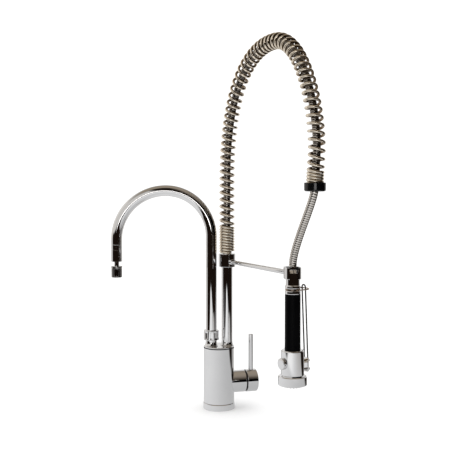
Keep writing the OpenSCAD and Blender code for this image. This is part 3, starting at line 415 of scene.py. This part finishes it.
finishes = {
    "chrome": finish("chrome", (0.84, 0.84, 0.85), (0.88, 0.88, 0.885), METAL, (0.015, 0.05), 500, 0.02),
    "steel": finish("steel", (0.97, 0.86, 0.71), (1.0, 0.92, 0.79), METAL, (0.02, 0.05), 1800, 0.02,
                    stretch=(1.0, 1.0, 0.15)),
    "dark_chrome": finish("dark_chrome", (0.36, 0.35, 0.34), (0.44, 0.43, 0.42), METAL,
                          (0.04, 0.09), 700, 0.05),
    "wound_steel": finish("wound_steel", (0.78, 0.74, 0.69), (0.88, 0.84, 0.79), METAL,
                          (0.04, 0.09), 1800, 0.03),
    # a near-black copy of the wire's metal: its darkness is a painted dark reflection of the room
    "wire_painted_dark_reflection": finish("wire_painted_dark_reflection", (0.07, 0.065, 0.06), (0.11, 0.10, 0.09), METAL,
                        (0.06, 0.12), 1800, 0.04),
    # a brown copy darker than brass: the brown is a painted dark reflection on the bail
    "bail_painted_dark_reflection": finish("bail_painted_dark_reflection", (0.42, 0.33, 0.26), (0.52, 0.42, 0.34), METAL,
                         (0.12, 0.2), 1800, 0.05),
    "brass": finish("brass", (0.66, 0.47, 0.20), (0.76, 0.58, 0.28), METAL, (0.25, 0.4), 1200, 0.2),
    "rubber": finish("rubber", (0.012, 0.012, 0.013), (0.022, 0.022, 0.023), PLASTIC,
                     (0.55, 0.75), 1500, 0.3),
    "black_plastic": finish("black_plastic", (0.001, 0.001, 0.0012), (0.002, 0.002, 0.0024), PLASTIC,
                            (0.10, 0.16), 900, 0.03, specular=0.45),
    "grip": finish("grip", (0.0006, 0.0006, 0.0008), (0.0014, 0.0014, 0.0017), PLASTIC,
                   (0.28, 0.36), 2600, 0.12, specular=0.05),
    "grey_plastic": finish("grey_plastic", (0.50, 0.50, 0.51), (0.58, 0.58, 0.59), PLASTIC,
                           (0.3, 0.4), 1400, 0.12),
    "bearing_plastic": finish("bearing_plastic", (0.80, 0.79, 0.75), (0.86, 0.85, 0.82), PLASTIC,
                              (0.35, 0.5), 1400, 0.12),
}
for part in frame["record"]["subparts"]:
    slots = cad[part["node"]].data.materials
    slots.clear()
    slots.append(finishes[part["material_slot"]])
# The trigger wire and both bail parts take these copies with a painted dark reflection.
for name, look in (("trigger_wire", "wire_painted_dark_reflection"), ("hold_down_bail", "bail_painted_dark_reflection"),
                   ("bail_band", "bail_painted_dark_reflection")):
    cad[name].data.materials[0] = finishes[look]
print("finishes:", len(finishes))

# %% [markdown]
# ## Helpers for new pieces
# A new piece is built in a bmesh, smoothed except at real edges, given a finish and hung on
# the body it moves with, and the imported nodes it stands for are hidden.

# %% Helpers for meshes
SAME_POINT = 1e-6


def box(name):
    """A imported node's lowest and highest corner."""
    low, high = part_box(name)
    return Vector(low), Vector(high)


def add_piece(name, bm, body, nodes, slot, crease=40, look=None):
    """Turn a bmesh into a piece that rides on a body and hides the given nodes in its place."""
    bmesh.ops.remove_doubles(bm, verts=bm.verts, dist=SAME_POINT)
    bmesh.ops.recalc_face_normals(bm, faces=bm.faces)
    mesh = bpy.data.meshes.new(name)
    bm.to_mesh(mesh)
    bm.free()
    mesh.polygons.foreach_set("use_smooth", [True] * len(mesh.polygons))
    mesh.set_sharp_from_angle(angle=math.radians(crease))
    made = bpy.data.objects.new(name, mesh)
    bpy.context.collection.objects.link(made)
    mesh.materials.append(finishes[look or slot])
    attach(made, body)
    if nodes:
        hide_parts(*nodes)


def spun(profile, steps=96, place=Matrix()):
    """Spin an outline of (radius, height) points, in mm, round the upright axis."""
    bm = bmesh.new()
    verts = [bm.verts.new((r * MM, 0, z * MM)) for r, z in profile]
    edges = [bm.edges.new(pair) for pair in zip(verts, verts[1:])]
    bmesh.ops.spin(bm, geom=verts + edges, cent=(0, 0, 0), axis=(0, 0, 1), angle=math.tau,
                   steps=steps, use_merge=True)
    bmesh.ops.transform(bm, matrix=place, verts=bm.verts)
    return bm


def corner(r, z, radius, start, end, steps=5):
    """Points of a rounded corner, in mm, round the centre (r, z)."""
    return [(r + radius * math.cos(math.radians(start + (end - start) * i / steps)),
             z + radius * math.sin(math.radians(start + (end - start) * i / steps)))
            for i in range(steps + 1)]


def tube_along(points, radii, sides):
    """A round tube with closed ends along a list of points."""
    curve = bpy.data.curves.new("path", "CURVE")
    curve.dimensions = "3D"
    curve.bevel_depth = 1.0
    curve.bevel_resolution = sides // 4 - 1
    curve.use_fill_caps = True
    spline = curve.splines.new("POLY")
    spline.points.add(len(points) - 1)
    for target, point, radius in zip(spline.points, points, radii):
        target.co = (*point, 1)
        target.radius = radius
    holder = bpy.data.objects.new("path", curve)
    bm = bmesh.new()
    bm.from_mesh(holder.to_mesh())
    bpy.data.objects.remove(holder)
    bpy.data.curves.remove(curve)
    return bm


# %% [markdown]
# ## The spring's centre line
# The spring stands on the arm's bracket, climbs straight, bends over in one wide arch and
# hangs down into its black end cap. Three Bezier curves make the arch, and everything inside
# the spring follows the same line.

# %% Trace the centre line
ARM_AZIMUTH = math.radians(-78)
OUTWARD = Vector((math.cos(ARM_AZIMUTH), math.sin(ARM_AZIMUTH), 0))
SIDEWAYS = Vector((-OUTWARD.y, OUTWARD.x, 0))
pipe_low, pipe_high = box("riser_pipe")
RISER_AXIS = Vector(((pipe_low.x + pipe_high.x) / 2, 0, 0))
SPRING_BOTTOM, LEG_TOP, ARCH_TOP, SPRING_END = 312.2, 452.0, 710.0, 446.25
ARCH_MID, ARCH_REACH, BOW_OUT, BOW_Z = 181.0, 308.0, 5.0, 514.0
LEG_PULL, RISE_PULL, FALL_PULL, BOW_PULL, END_PULL, END_PULL_Z = 182, 96, 85, 73, 19, 478
SLOPE_SPAN = 2


def bezier(points, steps):
    """Points of one cubic Bezier curve, without its first point."""
    made = []
    for i in range(1, steps + 1):
        t = i / steps
        weights = ((1 - t) ** 3, 3 * (1 - t) ** 2 * t, 3 * (1 - t) * t * t, t ** 3)
        made.append(tuple(sum(w * p[axis] for w, p in zip(weights, points)) for axis in (0, 1)))
    return made


bow = ARCH_REACH + BOW_OUT
centre = [(0.0, SPRING_BOTTOM + (LEG_TOP - SPRING_BOTTOM) * i / 8) for i in range(9)]
centre += bezier([(0, LEG_TOP), (0, LEG_TOP + LEG_PULL), (ARCH_MID - RISE_PULL, ARCH_TOP),
                  (ARCH_MID, ARCH_TOP)], 28)
centre += bezier([(ARCH_MID, ARCH_TOP), (ARCH_MID + FALL_PULL, ARCH_TOP), (bow, BOW_Z + BOW_PULL),
                  (bow, BOW_Z)], 22)
centre += bezier([(bow, BOW_Z), (bow, BOW_Z - END_PULL), (ARCH_REACH, END_PULL_Z),
                  (ARCH_REACH, SPRING_END)], 8)


class Line:
    """A flat line of (reach, height) points that can be asked for any distance along it."""

    def __init__(self, points):
        self.points = points
        self.steps = [0.0]
        for (x0, z0), (x1, z1) in zip(points, points[1:]):
            self.steps.append(self.steps[-1] + math.hypot(x1 - x0, z1 - z0))
        self.length = self.steps[-1]
        self.last = 0

    def at(self, s):
        s = min(max(s, 0.0), self.length)
        i = self.last if self.steps[self.last] <= s else 0
        while i < len(self.steps) - 2 and self.steps[i + 1] < s:
            i += 1
        self.last = i
        share = (s - self.steps[i]) / (self.steps[i + 1] - self.steps[i])
        return tuple(a + (b - a) * share for a, b in zip(self.points[i], self.points[i + 1]))

    def along(self, s):
        (x0, z0), (x1, z1) = self.at(s - SLOPE_SPAN), self.at(s + SLOPE_SPAN)
        size = math.hypot(x1 - x0, z1 - z0)
        return (x1 - x0) / size, (z1 - z0) / size

    def beside(self, s, radius, angle):
        """A point in metres, at a radius and an angle round the line."""
        reach, height = self.at(s)
        along_x, along_z = self.along(s)
        out = radius * math.cos(angle)
        return in_arm(reach + out * along_z, radius * math.sin(angle), height - out * along_x)


def in_arm(reach, side, height):
    """A point in metres, from its reach, side and height in mm in the arm's own plane."""
    return RISER_AXIS + OUTWARD * reach * MM + SIDEWAYS * side * MM + Vector((0, 0, height * MM))


spring_line = Line(centre)
print("spring's centre line:", round(spring_line.length, 1), "mm")

# %% [markdown]
# ## Coil spring
# The real spring is one long wire, close-wound where it sits on the bracket and in the cap,
# and open between. The wire is traced turn by turn, and the pitch changes along the arch as
# the bending opens and closes the coils.

# %% Wind the spring
COIL_R, WIRE_R, WIRE_SIDES, TURN_STEPS, SUBSTEPS = 12.9, 2.65, 16, 11, 3
CLOSE, OPEN, WIDE, TOP, FAR = 5.5, 13.9, 15.4, 12.1, 13.8
PITCHES = [(0, CLOSE), (49, CLOSE), (57, OPEN), (200, OPEN), (225, OPEN - 0.4), (290, OPEN - 0.2),
           (310, WIDE - 0.6), (345, WIDE), (385, WIDE - 1), (420, WIDE - 2), (435, TOP + 0.6),
           (460, TOP), (560, TOP), (585, TOP + 0.9), (620, FAR - 0.6), (650, FAR), (740, FAR),
           (784, FAR - 0.7), (791, CLOSE), (2000, CLOSE)]


def pitch_at(s):
    """The pitch at a distance along the line, between the two listed ones round it."""
    for (s0, p0), (s1, p1) in zip(PITCHES, PITCHES[1:]):
        if s <= s1:
            return p0 + (p1 - p0) * (s - s0) / (s1 - s0)


wire = []
s, step = 0.0, 0
while s < spring_line.length:
    advance = pitch_at(s) / TURN_STEPS
    for part in range(SUBSTEPS):
        angle = math.tau * (step + part / SUBSTEPS) / TURN_STEPS
        wire.append(spring_line.beside(s + advance * part / SUBSTEPS, COIL_R, -angle))
    s += advance
    step += 1
coils = tube_along(wire, [WIRE_R * MM] * len(wire), WIRE_SIDES)
print("turns:", round(step / TURN_STEPS, 1), "points:", len(wire))

# %% [markdown]
# ## Painted shade between the coils
# Light hardly reaches the sides of the wire that face the next turn. So each point of the
# mesh stores how far in it lies, measured from the spring's centre line, and shade is painted
# into the steel's colour there, which turns browner. A stored value belongs to the mesh, so it
# is the same from every side.

# %% Store the depth and paint shade into the steel by it
LIT_ABOVE, DIM_OVER = 0.65, 0.4
# the brown of the painted shade inside each turn
PAINTED_COIL_SHADE = (0.30, 0.22, 0.14)

middle = KDTree(int(spring_line.length))
for along in range(int(spring_line.length)):
    reach, height = spring_line.at(along)
    middle.insert(in_arm(reach, 0, height), along)
middle.balance()
# painted shade: how deep each point lies inside the coil
painted_shade_depth_layer = coils.verts.layers.float.new("depth")
for vert in coils.verts:
    outward_share = (middle.find(vert.co)[2] / MM - COIL_R) / WIRE_R
    vert[painted_shade_depth_layer] = min(max((LIT_ABOVE - outward_share) / DIM_OVER, 0.0), 1.0)


def darken(look, attribute, strength, tone):
    """Draw a finish's colour towards a tone where a value stored on the points is high."""
    tree = finishes[look].node_tree
    shader = tree.nodes["Principled BSDF"]
    clean = shader.inputs["Base Color"].links[0].from_socket
    stored = node(tree, "ShaderNodeAttribute", attribute_name=attribute).outputs["Fac"]
    share = math_node(tree, "MULTIPLY", stored, strength, clamp=True)
    tree.links.new(mix_colors(tree, share, clean, tone), shader.inputs["Base Color"])


# paint the shade into the steel's colour where the stored depth is high
darken("steel", "depth", 1.0, PAINTED_COIL_SHADE)
add_piece("spring_coils", coils, "arm", ["coil_spring"], "steel", 60)
print("shade starts at", LIT_ABOVE, "of the wire's radius")

# %% [markdown]
# ## Hose
# Inside the spring runs a steel-wound hose. It leaves the spring through the end cap and
# swings back to the spray, so its line is the spring's own, followed by two free curves.

# %% Trace the hose's line
RING_STEP, FREE_STEPS = 17, 2
FOOT_DEPTH, FERRULE_GAP, FERRULE_DEPTH = 4, 2, 3.3
CAP_OFF, CAP_LIFT, CAP_LEAN, CAP_RISE, LEAVING_PULL = 1.6, 0.2, 4, 14, 12
LEAN, SAG, RISE = 8, 28, 33.5

riser_foot_low = box("riser_foot")[0]
cap_low = box("spring_end_cap")[0]
ferrule_low, ferrule_high = box("hose_ferrule")
ARM_REACH = ((ferrule_low + ferrule_high) / 2 - RISER_AXIS).dot(OUTWARD) / MM
ferrule_end = ferrule_high.z / MM
cap_exit = (ARCH_REACH - CAP_OFF, cap_low.z / MM + CAP_LIFT)
last_inside = RING_STEP * math.floor((spring_line.length - FREE_STEPS * RING_STEP) / RING_STEP)
route = [(0.0, riser_foot_low.z / MM + FOOT_DEPTH)]
route += [spring_line.at(last_inside * i / 120) for i in range(121)]
leaving = route[-1]
route += bezier([leaving, (leaving[0], leaving[1] - LEAVING_PULL),
                 (cap_exit[0] + CAP_LEAN, cap_exit[1] + CAP_RISE), cap_exit], 12)
route += bezier([cap_exit, (cap_exit[0] - LEAN, cap_exit[1] - SAG), (ARM_REACH, ferrule_end + RISE),
                 (ARM_REACH, ferrule_end + FERRULE_GAP)], 40)
route += [(ARM_REACH, ferrule_end - FERRULE_DEPTH)]
hose_line = Line(route)
print("hose length:", round(hose_line.length), "mm")

# %% [markdown]
# ## The hose's skin
# The skin is a narrow steel strip wound edge to edge, so a shallow groove climbs round it
# like a screw thread. A flat grid is rolled up into a tube along the hose's line, with a
# smaller radius where the groove runs. Two values stored on its points darken the finish:
# one in the groove, and one that paints shade where the coils keep light off.

# %% Wind the hose's skin
HOSE_R, LEAD, RING_SIDES, RINGS_A_TURN = 7.15, 4.4, 24, 6
GROOVE_DEPTH, GROOVE_HALF, GROOVE_SHARPNESS = 0.11, 0.23, 1.4
HANGING = 158
HOSE_SHADE, GROOVE_SHADE = (0.10, 0.08, 0.06), (0.05, 0.035, 0.025)


def in_groove(turn):
    """1 in the middle of the groove, falling to 0 on the strip, by the turns made so far."""
    edge = min(turn % 1.0, 1 - turn % 1.0)
    return max(0.0, 1 - edge / GROOVE_HALF) ** GROOVE_SHARPNESS


count = int(hose_line.length / (LEAD / RINGS_A_TURN))
bm = bmesh.new()
bmesh.ops.create_grid(bm, x_segments=RING_SIDES, y_segments=count, size=0.5)
groove_layer = bm.verts.layers.float.new("groove")
shade_layer = bm.verts.layers.float.new("shade")
shade_starts, shade_ends = SPRING_BOTTOM - route[0][1], hose_line.length - HANGING
for vert in bm.verts:
    s = (vert.co.y + 0.5) * hose_line.length
    angle = math.tau * vert.co.x
    vert[groove_layer] = in_groove(s / LEAD + angle / math.tau)
    vert[shade_layer] = 1.0 if shade_starts < s < shade_ends else 0.0
    vert.co = hose_line.beside(s, HOSE_R * (1 - GROOVE_DEPTH * vert[groove_layer]), angle)
bmesh.ops.remove_doubles(bm, verts=bm.verts, dist=SAME_POINT)
bmesh.ops.holes_fill(bm, edges=bm.edges, sides=RING_SIDES)
# painted shade on the hose where it runs inside the spring
darken("wound_steel", "shade", 0.6, HOSE_SHADE)
darken("wound_steel", "groove", 1.3, GROOVE_SHADE)
add_piece("hose_skin", bm, "arm", ["spray_hose"], "steel", 70, "wound_steel")
print("turns of the strip:", round(hose_line.length / LEAD))

# %% [markdown]
# ## Swivel spout
# The spout is one chromed tube: it climbs straight, turns over in two quarter bends of
# slightly different radius and ends pointing down. A mirror shows every facet, so the tube is
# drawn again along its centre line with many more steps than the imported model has.

# %% Draw the spout's tube
TUBE_R, RISE_R, FALL_R = 11.0 * MM, 90.3 * MM, 97.8 * MM
SLEEVE_SPIGOT = 9 * MM
tube_low, tube_high = box("spout_tube")
collar_low, collar_high = box("spout_collar")
sleeve_low, sleeve_high = box("outlet_sleeve")
SPOUT_AXIS = (collar_low + collar_high) / 2
to_outlet = ((sleeve_low + sleeve_high) / 2 - SPOUT_AXIS) * Vector((1, 1, 0))
bend_top = tube_high.z - TUBE_R
tube_end = sleeve_high.z - SLEEVE_SPIGOT
print("spout reach:", round(to_outlet.length / MM, 2), "mm")
to_outlet.normalize()


def in_spout(reach, height):
    return Vector((SPOUT_AXIS.x, SPOUT_AXIS.y, height)) + to_outlet * reach


def quarter(radius, first, steps=48):
    turns = [math.radians(first + 90 * i / steps) for i in range(steps + 1)]
    return [in_spout(RISE_R - radius * math.cos(turn), bend_top - radius + radius * math.sin(turn))
            for turn in turns]


path = [in_spout(0, tube_low.z)] + quarter(RISE_R, 0) + quarter(FALL_R, 90)[1:]
path.append(in_spout(RISE_R + FALL_R, tube_end))
add_piece("spout_skin", tube_along(path, [TUBE_R] * len(path), 64), "spout", ["spout_tube"], "chrome")

# %% [markdown]
# ## Lip of the sleeve
# The sleeve at the spout's end starts with a thin rounded lip round the tube.

# %% Turn the lip
LIP_INSIDE, LIP_HALF, LIP_ROUND = TUBE_R / MM - 0.4, 0.9, 0.5
lip_outline = [(LIP_INSIDE, -LIP_HALF)] + corner(LIP_INSIDE, 0, LIP_ROUND, -75, 75, 8)
lip_outline += [(LIP_INSIDE, LIP_HALF), (LIP_INSIDE, -LIP_HALF)]
sleeve_middle = (sleeve_low + sleeve_high) / 2
lip_place = Matrix.Translation((sleeve_middle.x, sleeve_middle.y, sleeve_high.z + LIP_HALF * MM))
add_piece("sleeve_lip", spun(lip_outline, 96, lip_place), "spout", [], "chrome")
print("lip at", round(sleeve_high.z / MM, 1), "mm")

# %% [markdown]
# ## Turned parts with flutes
# The collar nut, the aerator and the knob are turned rings with grooves cut into the rim for
# the fingers. Each is spun from its outline, and the points of the rim are then drawn in
# where a groove runs, with the grooves fading out before the two ends.

# %% Helper for fluted rims
def fluted(profile, steps, count, depth, low, high, fade, inside, place):
    """Spin an outline and draw its rim in at a number of grooves between two heights."""
    bm = spun(profile, steps)
    for vert in bm.verts:
        radius = math.hypot(vert.co.x, vert.co.y)
        room = min(vert.co.z / MM - low, high - vert.co.z / MM)
        if radius > inside * MM and room > 0:
            wave = (0.5 + 0.5 * math.cos(count * math.atan2(vert.co.y, vert.co.x))) ** 2
            cut = depth * MM * wave * min(1.0, room / fade)
            vert.co.x *= 1 - cut / radius
            vert.co.y *= 1 - cut / radius
    bmesh.ops.transform(bm, matrix=place, verts=bm.verts)
    return bm


def rim_rows(radius, start, end, rows):
    return [(radius, start + (end - start) * i / rows) for i in range(rows + 1)]


# %% [markdown]
# ## Collar nut
# The nut holds the spout down on its foot. It is loosened by hand, so it has ten wide flutes.

# %% Make the collar nut
COLLAR_R, COLLAR_H, COLLAR_FLUTES = 15.2, 19.4, 10
profile = [(11.5, 0)] + corner(COLLAR_R - 0.8, 0.8, 0.8, -90, 0) + rim_rows(COLLAR_R, 1.2, COLLAR_H - 1.2, 14)
profile += corner(COLLAR_R - 0.8, COLLAR_H - 0.8, 0.8, 0, 90) + [(11.05, COLLAR_H), (11.5, 0)]
nut = fluted(profile, 160, COLLAR_FLUTES, 0.9, 1.6, COLLAR_H - 1.6, 1.6, COLLAR_R - 1,
             Matrix.Translation((SPOUT_AXIS.x, SPOUT_AXIS.y, collar_low.z)))
add_piece("collar_nut", nut, "deck_body", ["spout_collar"], "chrome", 50)
print("collar nut flutes:", COLLAR_FLUTES)

# %% [markdown]
# ## Aerator
# The aerator's housing is a dark turned cup with a plain rim at the top and fine ribs below,
# so that it can be unscrewed with wet fingers. It is open below, where the insert shows.

# %% Make the aerator's housing
AERATOR_R, RIM, AERATOR_BORE, NECK_HOLE, ROOF = 10.5, 0.4, 8.8, 5.05, 4.4
aerator_low, aerator_high = box("aerator_head")
aerator_middle = (aerator_low + aerator_high) / 2
height = (aerator_high.z - aerator_low.z) / MM
profile = [(AERATOR_BORE, 0)] + corner(AERATOR_R - 0.7, 0.7, 0.7, -90, 0)
profile += rim_rows(AERATOR_R, 1, height - 3.2, 12)
profile += [(AERATOR_R, height - 3)] + corner(AERATOR_R + RIM - 0.3, height - 2.7, 0.3, -90, 0, 3)
profile += corner(AERATOR_R + RIM - 0.3, height - 0.3, 0.3, 0, 90, 3)
profile += [(NECK_HOLE, height), (NECK_HOLE, height - ROOF), (AERATOR_BORE, height - ROOF), (AERATOR_BORE, 0)]
cup = fluted(profile, 192, 24, 0.35, 1.4, height - 3.4, 1.2, AERATOR_R - 0.5,
             Matrix.Translation((aerator_middle.x, aerator_middle.y, aerator_low.z)))
add_piece("aerator_cup", cup, "aerator", ["aerator_head"], "dark_chrome", 50)
print("aerator height:", round(height, 1), "mm")

# %% [markdown]
# ## Knob
# A small round knob on the back of the spray head sets the spray. Its face is slightly domed
# and its rim is fluted.

# %% Make the knob
KNOB_R, KNOB_LENGTH = 10.4, 4.8
knob_low, knob_high = box("spray_knob")
knob_middle = (knob_low + knob_high) / 2
grip_low, grip_high = box("grip_sleeve")
SPRAY_AXIS = (grip_low + grip_high) / 2
knob_out = ((knob_middle - SPRAY_AXIS) * Vector((1, 1, 0))).normalized()
profile = [(0, 0), (KNOB_R - 0.4, 0)] + corner(KNOB_R - 0.4, 0.4, 0.4, -90, 0, 3)
profile += rim_rows(KNOB_R, 0.8, KNOB_LENGTH - 1.6, 6)
profile += corner(KNOB_R - 1.6, KNOB_LENGTH - 1.6, 1.6, 0, 80, 8)
profile += [(KNOB_R * 0.5, KNOB_LENGTH - 0.1), (0, KNOB_LENGTH)]
turn = knob_out.to_track_quat("Z", "Y").to_matrix().to_4x4()
base = knob_middle - knob_out * KNOB_LENGTH * MM / 2
knob = fluted(profile, 144, 18, 0.45, 0.5, KNOB_LENGTH - 0.9, 0.6, KNOB_R - 1.2,
              Matrix.Translation(base) @ turn)
add_piece("fluted_knob", knob, "knob", ["spray_knob"], "chrome", 50)
print("knob faces", [round(c, 2) for c in knob_out])

# %% [markdown]
# ## Feet of the two tubes
# Both tubes grow out of the body's top through a short flared foot. The flare is hollow like
# a trumpet: almost flat where it meets the body and upright where it meets the tube.

# %% Make the feet
def flare(low, high, bottom, top, steps=14):
    turns = [math.pi / 2 * i / steps for i in range(steps + 1)]
    return [(top + (bottom - top) * (1 - math.sin(t)), low + (high - low) * (1 - math.cos(t))) for t in turns]


FOOT_R, STUB_R, STUB, SPIGOT_R, NECK = 13.3, 8.4, 26.0, 8.9, 4
body_top = box("riser_foot")[0].z / MM + STUB
for name, piece, axis, lip, flare_top, neck, spigot in (
        ("riser_foot", "riser_flare", RISER_AXIS, 0.8, body_top + 7, 11.2, body_top + 24),
        ("spout_foot", "spout_flare", SPOUT_AXIS, 1.0, collar_low.z / MM - 2.4, 11.4, body_top + 14)):
    profile = [(0, body_top - STUB), (STUB_R, body_top - STUB), (STUB_R, body_top), (FOOT_R - 0.3, body_top)]
    profile += corner(FOOT_R - 0.3, body_top + 0.3, 0.3, -90, 0, 3)
    profile += flare(body_top + lip, flare_top, FOOT_R, neck)
    shoulder = flare_top + (0.01 if name == "riser_foot" else NECK)
    profile += [(neck, shoulder), (SPIGOT_R, flare_top + NECK), (SPIGOT_R, spigot), (0, spigot)]
    foot = spun(profile, 96, Matrix.Translation((axis.x, axis.y, 0)))
    add_piece(piece, foot, "deck_body", [name], "chrome", 40)
print("body top:", round(body_top, 1), "mm")

# %% [markdown]
# ## Seam of the body
# The body's top is a separate turned cover, and its joint shows as one thin dark line.

# %% Mark the seam
BODY_R, SEAM_INSIDE, SEAM_PROUD = 30.5, 0.4, 0.03
seam_low, seam_high = body_top - 4.2, body_top - 1.9
inner, outer = BODY_R - SEAM_INSIDE, BODY_R + SEAM_PROUD
seam = spun([(inner, seam_low), (outer, seam_low), (outer, seam_high), (inner, seam_high),
             (inner, seam_low)], 128)
add_piece("top_seam", seam, "deck_body", [], "rubber", 30)
print("seam at", round((seam_low + seam_high) / 2, 1), "mm")

# %% [markdown]
# ## View transform
# The view transform stays plain, so white stays white.

# %% Finish
bpy.context.scene.view_settings.view_transform = "Standard"
